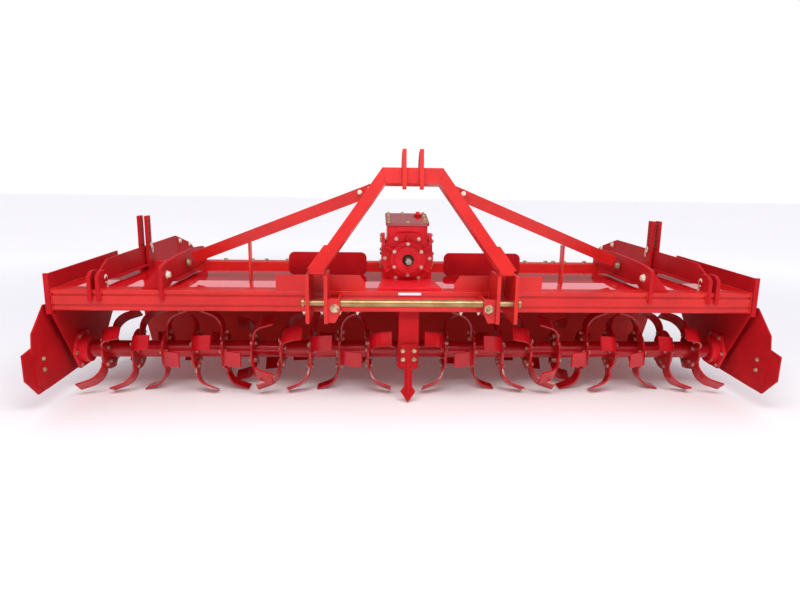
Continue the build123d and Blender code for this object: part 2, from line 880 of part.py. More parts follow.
# ---------------------------------------------------------------- trailing board
# Hinged behind the rear beam; its lower edge rests on the ground behind the rotor.
board_edge = 128.0
board_half = body_half - board_edge
hinge_pin = 8.0
knuckle_radius = 15.0
hinge_depth = body_depth + knuckle_radius + running_gap
hinge_height = 640.0
board_low_depth = 1104.0
board_bar = 8.0
hinge_half = 70.0
hinge_step = (2 * board_half - 544) / 4
hinge_places = [hinge_step * place for place in (-2, -1, 0, 1, 2)]
with BuildPart() as board_hinges:
    for x in hinge_places:
        with BuildSketch(depth_plane(x - hinge_half)):
            with Locations((hinge_depth, hinge_height)):
                Circle(hinge_pin)
        extrude(amount=2 * hinge_half)
        with BuildSketch(depth_plane(x - 20)) as lug:
            with BuildLine():
                Polyline(
                    (body_depth, hinge_height - 25),
                    (body_depth, hinge_height + 25),
                    (hinge_depth, hinge_height + knuckle_radius),
                    (hinge_depth, hinge_height - knuckle_radius),
                    close=True,
                )
            make_face()
            with Locations((hinge_depth, hinge_height)):
                Circle(knuckle_radius)
        extrude(amount=40)
single["board_hinges"] = board_hinges

with BuildPart() as trailing_board:
    with BuildSketch(depth_plane(-board_half)):
        with BuildLine() as board_line:
            FilletPolyline(
                (hinge_depth + 8, hinge_height - knuckle_radius - 8),
                (hinge_depth + 22, 330),
                (board_low_depth, sheet / 2),
                radius=420,
            )
        trace(board_line.line, line_width=sheet)
    extrude(amount=2 * board_half)
    # round bar along the lower edge
    with BuildSketch(depth_plane(-board_half)):
        with Locations((board_low_depth, board_bar)):
            Circle(board_bar)
    extrude(amount=2 * board_half)
    # hinge straps welded to the board, one each side of every lug
    for x in hinge_places:
        for start in (x - hinge_half + 5, x + 25):
            with BuildSketch(depth_plane(start)) as strap:
                with BuildLine():
                    Polyline(
                        (hinge_depth - 8, hinge_height - 5),
                        (hinge_depth + 5, hinge_height - 60),
                        (hinge_depth + 18, hinge_height - 60),
                        (hinge_depth + 15, hinge_height),
                        close=True,
                    )
                make_face()
                with Locations((hinge_depth, hinge_height)):
                    Circle(knuckle_radius)
                    Circle(hinge_pin + bearing_clear, mode=Mode.SUBTRACT)
            extrude(amount=40)
single["trailing_board"] = trailing_board

# ---------------------------------------------------------------- export
for name, piece in single.items():
    piece.part.label = name
    export_step(piece.part, f"parts/{name}.step")
for name, piece in paired.items():
    piece.part.label = f"{name}_left"
    export_step(piece.part, f"parts/{name}_left.step")
    with BuildPart() as twin:
        mirror(piece.part, about=Plane.YZ)
    twin.part.label = f"{name}_right"
    export_step(twin.part, f"parts/{name}_right.step")
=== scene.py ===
import math

import bpy
from mathutils import Matrix, Vector


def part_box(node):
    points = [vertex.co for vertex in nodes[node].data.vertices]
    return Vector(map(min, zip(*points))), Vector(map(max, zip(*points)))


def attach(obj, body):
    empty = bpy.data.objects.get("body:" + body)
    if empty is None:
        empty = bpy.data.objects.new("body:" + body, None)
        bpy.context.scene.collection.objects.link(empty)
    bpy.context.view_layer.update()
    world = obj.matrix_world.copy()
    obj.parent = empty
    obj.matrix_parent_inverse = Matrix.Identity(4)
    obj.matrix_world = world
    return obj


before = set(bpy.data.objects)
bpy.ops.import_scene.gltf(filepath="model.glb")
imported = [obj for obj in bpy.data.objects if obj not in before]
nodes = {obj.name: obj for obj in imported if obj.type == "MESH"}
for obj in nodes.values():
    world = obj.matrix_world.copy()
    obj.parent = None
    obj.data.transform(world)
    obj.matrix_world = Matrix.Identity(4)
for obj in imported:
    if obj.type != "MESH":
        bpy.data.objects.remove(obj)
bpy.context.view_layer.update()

bpy.ops.object.select_all(action="DESELECT")

# ---- Front beam ----
# A rolled box section in structural steel, the full width of the machine, that everything
# else is welded or bolted to. It is shot blasted and powder coated in a glossy red.
beam_low, beam_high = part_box("front_beam")
front = beam_low.y
beam_bottom = beam_low.z
beam_top = beam_high.z


def linear(code):
    """The linear colour, with alpha, of an sRGB hex value."""
    parts = [int(code[i:i + 2], 16) / 255 for i in (0, 2, 4)]
    return [c / 12.92 if c <= 0.04045 else ((c + 0.055) / 1.055) ** 2.4 for c in parts] + [1.0]


def add_node(tree, kind, settings=None, links=None):
    """Adds one node. settings are inputs, by name or number, or properties, by name;
    links are input: (node, output)."""
    node = tree.nodes.new(kind)
    for name, value in (settings or {}).items():
        if isinstance(name, int) or name in node.inputs:
            node.inputs[name].default_value = value
        else:
            setattr(node, name, value)
    for name, (source, output) in (links or {}).items():
        tree.links.new(source.outputs[output], node.inputs[name])
    return node


def finish(name, colours, patch, grain, relief, gloss, metallic=0.0, coat=0.0, shine=0.36):
    """A painted or bare finish. The two colours, dark then light, lie in clouds of the size
    patch; grain is the size of its surface texture and relief its depth, all in metres.
    gloss is the lowest and highest roughness, and shine the strength of mirror reflection.
    Sand, crystals and grinding marks too fine to show are drawn 3 to 6 mm wide."""
    material = bpy.data.materials.new(name)
    material.use_nodes = True
    tree = material.node_tree
    surface = tree.nodes["Principled BSDF"]
    surface.inputs["Metallic"].default_value = metallic
    surface.inputs["Specular IOR Level"].default_value = shine
    surface.inputs["Coat Weight"].default_value = coat
    surface.inputs["Coat Roughness"].default_value = 0.06
    place = add_node(tree, "ShaderNodeTexCoord")
    clouds = add_node(tree, "ShaderNodeTexNoise",
                      {"Scale": 1 / patch, "Detail": 4.0, "Roughness": 0.6},
                      {"Vector": (place, "Object")})
    ramp = add_node(tree, "ShaderNodeValToRGB", None, {"Fac": (clouds, "Fac")})
    for stop, position, colour in zip(ramp.color_ramp.elements, (0.3, 0.7), colours):
        stop.position = position
        stop.color = linear(colour)
    tree.links.new(ramp.outputs["Color"], surface.inputs["Base Color"])
    texture = add_node(tree, "ShaderNodeTexNoise", {"Scale": 1 / grain, "Detail": 3.0},
                       {"Vector": (place, "Object")})
    spread = add_node(tree, "ShaderNodeMapRange", {"To Min": gloss[0], "To Max": gloss[1]},
                      {"Value": (texture, "Fac")})
    tree.links.new(spread.outputs["Result"], surface.inputs["Roughness"])
    bump = add_node(tree, "ShaderNodeBump", {"Strength": 1.0, "Distance": relief},
                    {"Height": (texture, "Fac")})
    tree.links.new(bump.outputs["Normal"], surface.inputs["Normal"])
    return material


# polyester powder coat: smooth and glossy, with a faint orange peel
red_powder_coat = finish("red_powder_coat", ("C41C1A", "DC2622"), 0.22, 0.011, 0.00010,
                         (0.26, 0.38), coat=0.05)


def dress(material, *names):
    """Gives this finish to the CAD pieces of these names, single or left and right."""
    for name in names:
        for side in ("", "_left", "_right"):
            if name + side in nodes:
                nodes[name + side].data.materials.clear()
                nodes[name + side].data.materials.append(material)


dress(red_powder_coat, "front_beam")

# clear passivated zinc: a pale, slightly uneven cream with a soft shine; the near-white tone,
# kept bright by a low metal value, is partly painted highlight
pale_zinc_painted_highlight = finish("pale_zinc_painted_highlight", ("DCCCAE", "FFFAF0"), 0.014, 0.004, 0.0001,
                     (0.3, 0.42), metallic=0.1)


def settle(piece, name):
    """Applies the piece's place to its mesh and names it."""
    bpy.ops.object.select_all(action="DESELECT")
    piece.select_set(True)
    bpy.context.view_layer.objects.active = piece
    bpy.ops.object.transform_apply(location=True, rotation=True, scale=True)
    piece.name = name
    piece.data.name = name
    return piece


def soften(piece, width, segments=2):
    """Rounds every edge of the piece."""
    bevel = piece.modifiers.new("edge", "BEVEL")
    bevel.width = width
    bevel.segments = segments
    bpy.ops.object.modifier_apply(modifier="edge")


def choose_faces(piece, test):
    """Selects the faces whose middle and normal pass the test, and enters edit mode."""
    bpy.ops.object.select_all(action="DESELECT")
    piece.select_set(True)
    bpy.context.view_layer.objects.active = piece
    bpy.ops.object.mode_set(mode="EDIT")
    bpy.ops.mesh.select_mode(type="FACE")
    bpy.ops.mesh.select_all(action="DESELECT")
    bpy.ops.object.mode_set(mode="OBJECT")
    for face in piece.data.polygons:
        face.select = test(face.center, face.normal)
    bpy.ops.object.mode_set(mode="EDIT")


def combine(parts):
    """Joins the parts into the first of them."""
    bpy.ops.object.select_all(action="DESELECT")
    for part in parts:
        part.select_set(True)
    bpy.context.view_layer.objects.active = parts[0]
    bpy.ops.object.join()
    return parts[0]


def hex_bolt(size, washer=True, stud=0.0):
    """A hexagon head, or a nut with a stud end through it, seated at the origin and pointing
    up. Every measure but the stud's length follows from the thread's size."""
    washer_height = 0.2 * size if washer else 0.0
    head_height = 0.65 * size
    edge = 0.05 * size
    bpy.ops.object.select_all(action="DESELECT")
    bpy.ops.mesh.primitive_cylinder_add(vertices=6, radius=0.9 * size, depth=head_height,
                                        location=(0, 0, washer_height + head_height / 2))
    head = bpy.context.object
    choose_faces(head, lambda middle, normal: normal.z > 0.9)
    bpy.ops.mesh.inset(thickness=0.16 * size)
    bpy.ops.transform.translate(value=(0, 0, 0.07 * size))
    if stud:
        bpy.ops.mesh.inset(thickness=0.2 * size)
        bpy.ops.mesh.extrude_region_move(TRANSFORM_OT_translate={"value": (0, 0, stud)})
    bpy.ops.object.mode_set(mode="OBJECT")
    soften(head, edge, 1)
    parts = [head]
    if washer:
        bpy.ops.mesh.primitive_cylinder_add(vertices=20, radius=1.15 * size,
                                            depth=washer_height,
                                            location=(0, 0, washer_height / 2))
        soften(bpy.context.object, edge, 1)
        parts.append(bpy.context.object)
    return settle(combine(parts), "bolt_pattern")


def fasten(name, body, pattern, places, material=pale_zinc_painted_highlight):
    """Copies the pattern to each place, a point and the way its head points, as one piece."""
    copies = []
    for point, axis in places:
        copy = pattern.copy()
        copy.data = pattern.data.copy()
        bpy.context.scene.collection.objects.link(copy)
        turn = Vector(axis).to_track_quat("Z", "Y").to_matrix().to_4x4()
        copy.matrix_world = Matrix.Translation(point) @ turn
        copies.append(copy)
    group = settle(combine(copies), name)
    group.data.materials.clear()
    group.data.materials.append(material)
    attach(group, body)


def weld(name, body, seams, width=0.008, sides=(1, -1)):
    """A bead of overlapping ripples along each seam, two points on the machine's left side,
    and along its mirror image on the right unless sides leaves that out."""
    ripple_pitch = 0.65 * width
    beads = []
    for side in sides:
        for start, end in seams:
            first = Vector((side * start[0], start[1], start[2]))
            run = Vector((side * end[0], end[1], end[2])) - first
            bpy.ops.object.select_all(action="DESELECT")
            bpy.ops.mesh.primitive_uv_sphere_add(segments=8, ring_count=4, radius=width / 2,
                                                 location=first)
            bead = bpy.context.object
            bpy.ops.object.mode_set(mode="EDIT")
            bpy.ops.mesh.select_all(action="SELECT")
            bpy.ops.transform.resize(value=(0.9, 0.9, 0.9))
            bpy.ops.object.mode_set(mode="OBJECT")
            row = bead.modifiers.new("row", "ARRAY")
            row.use_relative_offset = False
            row.use_constant_offset = True
            row.constant_offset_displace = run.normalized() * ripple_pitch
            row.count = int(run.length / ripple_pitch) + 1
            bpy.ops.object.modifier_apply(modifier="row")
            beads.append(bead)
    seam = settle(combine(beads), name)
    seam.data.materials.append(red_powder_coat)
    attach(seam, body)


# the bolts that the sections share, each named for its thread
bolt_m10 = hex_bolt(0.0095)
bolt_m12 = hex_bolt(0.011)
bolt_m16 = hex_bolt(0.016)
bolt_m20 = hex_bolt(0.020)
stud_m12 = hex_bolt(0.010, stud=0.008)
# stud ends with their nuts hang in a row under the beam's front edge, four to each side
stud_first, stud_pitch, stud_back = 0.283, 0.0965, 0.016
fasten("beam_bolts", "frame", stud_m12, [
    ((side * (stud_first + stud_pitch * place), front + stud_back, beam_bottom), (0, 0, -1))
    for side in (-1, 1) for place in range(4)
])


def strip(name, middle, size, edge, material):
    """A thin flat piece on the frame, of this width, depth and height, with rounded edges."""
    bpy.ops.object.select_all(action="DESELECT")
    bpy.ops.mesh.primitive_cube_add(size=1, location=middle)
    piece = bpy.context.object
    piece.scale = size
    bpy.ops.object.transform_apply(location=True, rotation=True, scale=True)
    soften(piece, edge, 1)
    settle(piece, name).data.materials.append(material)
    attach(piece, "frame")


# a small adhesive label, without print, lies on the flat above the upper groove;
# it is white polyester film, which looks satin, and its faint pink tint is painted reflection of
# the red paint beside it
label_film = finish("label_film", ("EBD6E4", "F6EEF4"), 0.05, 0.01, 0.00002, (0.3, 0.45))
label_depth, label_height = 0.0006, 0.6325
strip("beam_label", (-0.001, front - label_depth / 2, label_height),
      (0.123, label_depth, 0.014), 0.00025, label_film)

# ---- Deck, rear beam and side plates ----
# The rear beam is a second box section, a flat sheet of steel spans the two beams, and a thick
# plate closes each end. All of it is welded, and deck and rear beam are powder coated.
rear_beam_low, rear_beam_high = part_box("rear_beam")
# powder coat that has flowed out over a wide flat sheet: smooth as glass, it mirrors the sky
deck_coat = finish("red_deck_coat", ("C40A14", "DA101C"), 0.5, 0.02, 0.00004, (0.04, 0.09),
                   coat=0.6, shine=0.6)
# the sheet is modelled flat, but the real one falls a little to the front, more so ahead of a
# fold; the finish tilts its reflections by those angles, so that the front strip is brighter
deck_fold = front + 0.313
front_fall = math.tan(math.radians(8))
rear_fall = math.tan(math.radians(3))
deck_tree = deck_coat.node_tree
deck_surface = deck_tree.nodes["Principled BSDF"]
deck_place = add_node(deck_tree, "ShaderNodeTexCoord")
deck_parts = add_node(deck_tree, "ShaderNodeSeparateXYZ", None,
                      {"Vector": (deck_place, "Object")})
ahead = add_node(deck_tree, "ShaderNodeMath", {"operation": "SUBTRACT", 1: deck_fold},
                 {0: (deck_parts, "Y")})
ahead_only = add_node(deck_tree, "ShaderNodeMath", {"operation": "MINIMUM", 1: 0.0},
                      {0: (ahead, 0)})
steeper = add_node(deck_tree, "ShaderNodeMath",
                   {"operation": "MULTIPLY", 1: front_fall - rear_fall},
                   {0: (ahead_only, 0)})
fall = add_node(deck_tree, "ShaderNodeMath", {"operation": "MULTIPLY_ADD", 1: rear_fall},
                {0: (deck_parts, "Y"), 2: (steeper, 0)})
slope = add_node(deck_tree, "ShaderNodeBump", {"Strength": 1.0, "Distance": 1.0},
                 {"Height": (fall, 0)})
# the fine grain of the coat lies on top of the slope
deck_grain = deck_surface.inputs["Normal"].links[0].from_node
deck_tree.links.new(slope.outputs["Normal"], deck_grain.inputs["Normal"])
deck_tree.links.new(slope.outputs["Normal"], deck_surface.inputs["Coat Normal"])
dress(deck_coat, "deck")
dress(red_powder_coat, "rear_beam")
# sprayed enamel on the outer plates and on what is bolted on late: a flatter, deeper red
red_enamel = finish("red_sprayed_enamel", ("B0151C", "C81D24"), 0.18, 0.008, 0.00008,
                    (0.42, 0.56), shine=0.1)
dress(red_enamel, "side_plate")
# yellow passivated zinc, dull, in small blotches from brown to straw: partly the zinc's own tone,
# partly painted shade and painted highlight on the small heads
zinc_painted_shade_highlight = finish("yellow_zinc_painted_shade_highlight", ("7E5E3C", "EAD6AE"), 0.014, 0.004, 0.0001,
                   (0.35, 0.5), metallic=0.35)
# bolts stand along the top of the rear beam, unevenly spaced; these are their X values
rear_bolt_row = (-1.176, -1.000, -0.909, -0.771, 0.829, 0.970, 1.024, 1.099, 1.237)
rear_bolt_back = 0.020
fasten("rear_beam_bolts", "frame", bolt_m16, [
    ((x, rear_beam_low.y + rear_bolt_back, rear_beam_high.z), (0, 0, 1)) for x in rear_bolt_row
], zinc_painted_shade_highlight)
# the middle of a bead on the front beam lies 1 mm off its face or its top, and most beads
# start 4 mm in from a plate's end
bead_front = front - 0.001
bead_top = beam_top + 0.001
run_in = 0.004
# beads lie in the corners between the side plates and the front beam, 2 mm off the plates,
# and run back over the beam's top to the rear beam
side_plate_inner = 1.900
corner = side_plate_inner - 0.002
weld("side_plate_welds", "frame", [
    ((corner, bead_front, beam_bottom + run_in), (corner, bead_front, beam_top)),
    ((corner, front + run_in, bead_top), (corner, rear_beam_low.y, bead_top)),
])

# ---- Side shields ----
# Flame-cut steel plates bolted outside the side plates, with a smaller nose plate in front.
# The nose is held by two bolts with washers and goes on after painting.
dress(red_enamel, "side_shield", "shield_nose")
shield_plate = 0.008
shield_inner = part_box("shield_nose_left")[0].x - shield_plate
nose_bolt_ahead = 0.046
fasten("nose_bolts", "frame", bolt_m12, [
    ((side * shield_inner, front - nose_bolt_ahead, height), (-side, 0, 0))
    for side in (-1, 1) for height in (0.219, 0.280)
], zinc_painted_shade_highlight)
# two bolts go through each spacer block behind a shield: depth behind the beam's face, height
shield_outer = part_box("side_shield_left")[1].x
spacer_bolts = ((0.234, 0.450), (0.266, 0.450), (0.420, 0.284), (0.420, 0.316))
fasten("shield_bolts", "frame", bolt_m16, [
    ((side * shield_outer, front + depth, height), (side, 0, 0))
    for side in (-1, 1) for depth, height in spacer_bolts
], zinc_painted_shade_highlight)

# ---- Lower hitch ----
# Steel plates welded to the beam carry the lower link pins; one steel rod passes through all
# of them, with a tube over its middle.
dress(red_powder_coat, "hitch_plates", "bar_bracket")
# zinc plate under a yellow passivation: a soft brassy shine
yellow_zinc = finish("yellow_passivated_zinc", ("94764A", "BC9E70"), 0.07, 0.006, 0.00005,
                     (0.34, 0.46), metallic=0.85)
dress(yellow_zinc, "hitch_bar")
bracket_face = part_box("bar_bracket_left")[0].y
bracket_bolt_x, bracket_bolt_height = 0.393, 0.596
fasten("bracket_bolts", "frame", bolt_m20, [
    ((side * bracket_bolt_x, bracket_face, bracket_bolt_height), (0, -1, 0))
    for side in (-1, 1)
], zinc_painted_shade_highlight)
# a bead runs up the beam's face on both sides of each plate
hitch_low, hitch_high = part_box("hitch_plates_left")
hitch_plate, hitch_seam_drop = 0.018, 0.006
weld("hitch_welds", "frame", [
    ((x, bead_front, beam_bottom + run_in), (x, bead_front, beam_top - hitch_seam_drop))
    for x in (hitch_low.x, hitch_low.x + hitch_plate, hitch_high.x - hitch_plate, hitch_high.x)
])

# ---- Mast, top link ears and stays ----
# A welded frame of square steel tube that leans back over the beam, with two thick ears at
# its head. Angle bars run from its shoulders down to arched brackets, on flat struts.
dress(red_powder_coat, "mast", "top_link_ears", "stay_brace", "stay_strut")
dress(red_enamel, "stay_bracket")
# one bolt of each row to a side: X on the left side, depth behind the beam's face and height,
# then the way the head points there, across and back
for name, pattern, (x, depth, height), (across, back), material in (
    ("stay_bolts", bolt_m20, (1.310, 0.066, 0.718), (-1, 0), pale_zinc_painted_highlight),
    ("stay_foot_bolts", bolt_m20, (1.300, 0.415, 0.735), (-1, 0), zinc_painted_shade_highlight),
    ("stay_head_bolts", bolt_m12, (0.271, -0.013, 1.172), (0, -1), pale_zinc_painted_highlight),
):
    fasten(name, "frame", pattern, [
        ((side * x, front + depth, height), (side * across, back, 0)) for side in (-1, 1)
    ], material)

# the rear face of the mast's tube, at its foot and its head: depth and height
mast_foot_depth, mast_foot_height = -0.1134, 0.752
mast_head_depth, mast_head_height = 0.005, 1.283
mast_tube = 0.080
lean = (mast_head_depth - mast_foot_depth) / (mast_head_height - mast_foot_height)


def on_mast(x, height, out=0.0):
    """A point on the front face of the leaning mast, from its X and height."""
    rear_face = front + mast_foot_depth + lean * (height - mast_foot_height)
    return (x, rear_face - mast_tube * math.hypot(1, lean) - out, height)


# thin beads close each leg's foot and the head's mitres, and run beside both faces of an ear
thin_bead = 0.006
leg_inner, leg_outer, leg_foot = 0.448, 0.517, 0.769
mitre_inner, mitre_outer = 0.140, 0.155
head_low, head_high = 1.221, 1.299
ear_faces, ear_low = (0.033, 0.055), 1.223
weld("mast_welds", "frame", [
    (on_mast(leg_inner, leg_foot), on_mast(leg_outer, leg_foot)),
    (on_mast(mitre_inner, head_low, 0.001), on_mast(mitre_outer, head_high, 0.001)),
] + [
    (on_mast(x, ear_low, 0.001), on_mast(x, head_high, 0.001)) for x in ear_faces
], width=thin_bead)
# beads run along both faces of each stay bracket, over the beam and down its front
stay_faces = (1.309, 1.331)
stay_seam_start, stay_seam_end, stay_lip = front + 0.002, front + 0.160, 0.594
weld("stay_welds", "frame", [
    ((x, stay_seam_start, bead_top), (x, stay_seam_end, bead_top)) for x in stay_faces
] + [
    ((x, bead_front, stay_lip), (x, bead_front, beam_top)) for x in stay_faces
])

# ---- Guard plates ----
# Flat steel sheets that stand upright on both sides of the gearbox, one pair on the front beam
# and one on the deck. They are welded on, carry nothing, and keep soil off the drive.
dress(red_powder_coat, "front_guard")
dress(red_enamel, "rear_guard")
guard_low, guard_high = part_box("rear_guard_left")
guard_corner = 0.02
guard_seam_y, guard_seam_height = guard_low.y - 0.001, guard_low.z + 0.001
weld("guard_welds", "frame", [
    ((guard_low.x + guard_corner, guard_seam_y, guard_seam_height),
     (guard_high.x - guard_corner, guard_seam_y, guard_seam_height)),
], width=thin_bead)

# ---- Rear arms, clevises and posts ----
# Flame-cut steel plates that swing on a pin between two clevis plates on the beam, guided by
# twin posts on the rear beam. A linch pin keeps the pivot, and stop pins go through the posts.
dress(red_enamel, "arm_clevis", "rear_arm", "arm_posts")
# two bolts on the inner face of each arm's tail, which is bent inwards: distance inwards from
# the arm, depth and height, then the way the head points on the left, across and back
arm_inner = 1.666
arm_end_places = (
    (0.006, 1.444, 0.756, (-1, 0)),
    (0.030, 1.600, 0.715, (-0.988, 0.156)),
)
for side, hand in ((1, "left"), (-1, "right")):
    fasten("arm_end_bolts_" + hand, "arm_" + hand, bolt_m16, [
        ((side * (arm_inner - inwards), front + depth, height), (side * across, back, 0))
        for inwards, depth, height, (across, back) in arm_end_places
    ])

# beads hold the clevises to the beam's front and top, and the posts to the rear beam
clevis_low, clevis_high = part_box("arm_clevis_left")
post_low, post_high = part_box("arm_posts_left")
clevis_faces = (clevis_low.x, clevis_high.x)
rear_seam = rear_beam_high.z + 0.001
weld("clevis_welds", "frame", [
    ((x, bead_front, clevis_low.z + run_in), (x, bead_front, beam_top)) for x in clevis_faces
] + [
    ((x, front, bead_top), (x, clevis_high.y, bead_top)) for x in clevis_faces
] + [
    ((x, rear_beam_low.y + run_in, rear_seam), (x, post_high.y, rear_seam))
    for x in (post_low.x, post_high.x)
])


def linch_pin(pin_length):
    """A pin with a sprung ring that folds over its end, and four links of chain; pin upright."""
    bpy.ops.object.select_all(action="DESELECT")
    bpy.ops.mesh.primitive_cylinder_add(vertices=12, radius=0.004, depth=pin_length)
    pin = bpy.context.object
    # its upper end is drawn up to a blunt tip
    choose_faces(pin, lambda middle, normal: normal.z > 0.9)
    bpy.ops.mesh.inset(thickness=0.001)
    bpy.ops.transform.translate(value=(0, 0, 0.002))
    bpy.ops.object.mode_set(mode="OBJECT")
    soften(pin, 0.0006, 1)
    parts = [pin]
    # the spring ring, then the links: radius, wire's radius, middle and turn about the pin
    link_drop = 0.009
    rings = [(0.015, 0.0021, (0, -0.005, 0.004), 90)]
    rings += [(0.0055, 0.0014, (0, -0.018, -0.016 - link_drop * link), 90 * (link % 2))
              for link in range(4)]
    for radius, wire, middle, turn in rings:
        bpy.ops.mesh.primitive_torus_add(major_segments=20, minor_segments=6,
                                         major_radius=radius, minor_radius=wire,
                                         location=middle,
                                         rotation=(math.radians(90), 0, math.radians(turn)))
        ring = bpy.context.object
        bpy.ops.object.mode_set(mode="EDIT")
        bpy.ops.mesh.select_all(action="SELECT")
        # ring and links are taller than they are wide
        bpy.ops.transform.resize(value=(1, 1, 1.18), center_override=middle)
        bpy.ops.object.mode_set(mode="OBJECT")
        parts.append(ring)
    return settle(combine(parts), "linch_pattern")


# linch pins hold the arms' pivots, inside the inner clevis plate, and swing with the arms
linch = linch_pin(0.040)
pivot_end, pivot_depth, pivot_height = 1.6345, 0.062, 0.694
for side, body in ((1, "arm_left"), (-1, "arm_right")):
    fasten(body + "_linch_pin", body, linch, [
        ((side * pivot_end, front + pivot_depth, pivot_height), (0, 0, 1)),
    ])
# stop pins lie in the posts' lowest holes; only their ends outside the posts are made, so
# that the slot between them stays clear for the arm
stop_depth, stop_height = 0.776, 0.800
clip_out, clip_drop = 0.008, 0.004
stud_end = hex_bolt(0.0075, stud=0.006)
fasten("stop_pin_heads", "frame", stud_end, [
    ((side * x, front + stop_depth, stop_height), (side * way, 0, 0))
    for side in (-1, 1) for x, way in ((post_high.x, 1), (post_low.x, -1))
], zinc_painted_shade_highlight)
fasten("stop_pin_clips", "frame", linch, [
    ((side * (post_low.x - clip_out), front + stop_depth, stop_height - clip_drop), (0, 0, 1))
    for side in (-1, 1)
])

# ---- Drive case and gearbox ----
# Iron castings. The input end has a ribbed flange with two rings of bolts, each flank a ring
# for a round cover, and the top a machined lid that slopes, with a breather.

# paint over a sand-cast skin: a bright red, finely pitted and half matt
red_cast_paint = finish("red_cast_paint", ("DC1A26", "F42A38"), 0.08, 0.006, 0.0004,
                        (0.34, 0.5), coat=0.05, shine=0.2)
dress(red_cast_paint, "drive_case", "gearbox", "gearbox_flange", "end_bearing")
dress(red_enamel, "tine_holder")
# the machined lid takes the same paint more smoothly: dark red, with the sky in it
red_lid_paint = finish("red_lid_paint", ("A0040C", "B00A14"), 0.06, 0.008, 0.00003,
                       (0.12, 0.2), coat=0.9, shine=0.5)
dress(red_lid_paint, "gearbox_cover")
shaft_height = 0.785
box_front = front + 0.330


def around(radius, turns):
    """Points on a circle, as their distances from its middle along two axes; each turn is
    in degrees from the second axis."""
    return [(radius * math.sin(math.radians(turn)), radius * math.cos(math.radians(turn)))
            for turn in turns]


# the flange's outer and inner ring: radius, distance ahead of the box, and turns
flange_rings = ((0.131, 0.022, range(30, 390, 60)), (0.089, 0.072, range(0, 360, 60)))
fasten("flange_bolts", "frame", bolt_m10, [
    ((x, box_front - ahead_of_box, shaft_height + up), (0, -1, 0))
    for radius, ahead_of_box, turns in flange_rings for x, up in around(radius, turns)
])
cover_x, cover_depth, cover_height, cover_ring = 0.150, 0.470, 0.808, 0.100
fasten("flank_bolts", "frame", bolt_m12, [
    ((side * cover_x, front + cover_depth + back, cover_height + up), (side, 0, 0))
    for side in (-1, 1) for back, up in around(cover_ring, range(0, 360, 45))
], zinc_painted_shade_highlight)
# the lid slopes up to the rear from the top of the box's front edge
lid_start, lid_rise, lid_run = 0.974, 0.040, 0.280
lid_up = (0, -lid_rise, lid_run)


def on_lid(x, along, lift=0.014):
    """A point on the gearbox's sloping lid, from its X and the way up the slope. lift is its
    height above the box, which is the lid's own thickness unless given."""
    length = math.hypot(lid_rise, lid_run)
    return (x, box_front + (along * lid_run - lift * lid_rise) / length,
            lid_start + (along * lid_rise + lift * lid_run) / length)


# rows of bolts along the lid's edges: the way up the slope, and each bolt's X
lid_rows = (
    (0.008, (-0.108, 0.0, 0.108)),
    (0.100, (-0.108, 0.108)),
    (0.190, (-0.108, 0.108)),
    (0.276, (-0.108, -0.020, 0.108)),
)
fasten("lid_bolts", "frame", bolt_m12, [
    (on_lid(x, along), lid_up) for along, row in lid_rows for x in row
], zinc_painted_shade_highlight)
# a breather stands on its boss towards the lid's rear and is painted with it
breather_x, breather_along, boss_top = 0.072, 0.213, 0.024
breather = hex_bolt(0.016)
fasten("breather", "frame", breather, [(on_lid(breather_x, breather_along, boss_top), lid_up)],
       red_cast_paint)
# black rubber: dull and nearly black, with a brown cast
black_rubber = finish("black_rubber", ("2E1A16", "40302A"), 0.03, 0.003, 0.0002, (0.5, 0.7))
# a thin dark strip in the black rubber finish runs along the front of the foot; it is painted
# shadow that stands for the shade in the gap there
shadow_gap_depth, shadow_gap_height = 0.0238, 0.651
strip("foot_painted_shadow_strip", (0, front + shadow_gap_depth, shadow_gap_height), (0.20, 0.0008, 0.003), 0.0003,
      black_rubber)

# ---- Input shaft ----
# A splined stub of hardened steel that takes the tractor's drive shaft. It is turned and left
# bare, lightly oiled, and runs in a rubber lip seal in the hub's face.

# turned steel: warm grey with a soft, narrow shine
bare_steel = finish("bare_turned_steel", ("8A7A6C", "C8BCAC"), 0.03, 0.003, 0.0002,
                    (0.28, 0.42), metallic=0.5)
dress(bare_steel, "input_shaft")
seal_radius, seal_lip, seal_dish = 0.033, 0.005, 0.003
seal_thick, seal_depth = 0.004, 0.229
bpy.ops.object.select_all(action="DESELECT")
bpy.ops.mesh.primitive_cylinder_add(vertices=40, radius=seal_radius, depth=seal_thick,
                                    location=(0, front + seal_depth, shaft_height),
                                    rotation=(math.radians(90), 0, 0))
seal = bpy.context.object
bpy.ops.object.transform_apply(location=True, rotation=True, scale=True)
choose_faces(seal, lambda middle, normal: normal.y < -0.9)
bpy.ops.mesh.inset(thickness=seal_lip)
bpy.ops.transform.translate(value=(0, seal_dish, 0))
bpy.ops.object.mode_set(mode="OBJECT")
soften(seal, 0.0008)
settle(seal, "shaft_seal").data.materials.append(black_rubber)
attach(seal, "frame")

# ---- Centre tine ----
# A pointed bar ahead of the drive case that breaks the strip the rotor leaves. It is forged
# steel, painted with the machine, and two pairs of bolts clamp it to a holder under the beam.
dress(red_enamel, "centre_tine")
tine_bolt_x = 0.031
tine_bolt_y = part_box("centre_tine")[1].y - 0.016
fasten("tine_bolts", "frame", bolt_m12, [
    ((side * tine_bolt_x, tine_bolt_y, height), (0, -1, 0))
    for side in (-1, 1) for height in (0.256, 0.306)
], zinc_painted_shade_highlight)

# ---- Rotor ----
# Two steel tubes with flanges, joined by the shaft through the drive case, and curved blades
# of spring steel, each with two bolts through its root. All of it is dipped in the same red.

# paint put on by dipping: thick and wet looking, with slow waves
red_dip_paint = finish("red_dip_paint", ("AE1018", "CA1622"), 0.12, 0.02, 0.0003,
                       (0.16, 0.30), coat=0.2)
dress(red_dip_paint, "rotor")
rotor_depth, rotor_height = 0.291, 0.241713
rotor_axis = Vector((0, front + rotor_depth, rotor_height))
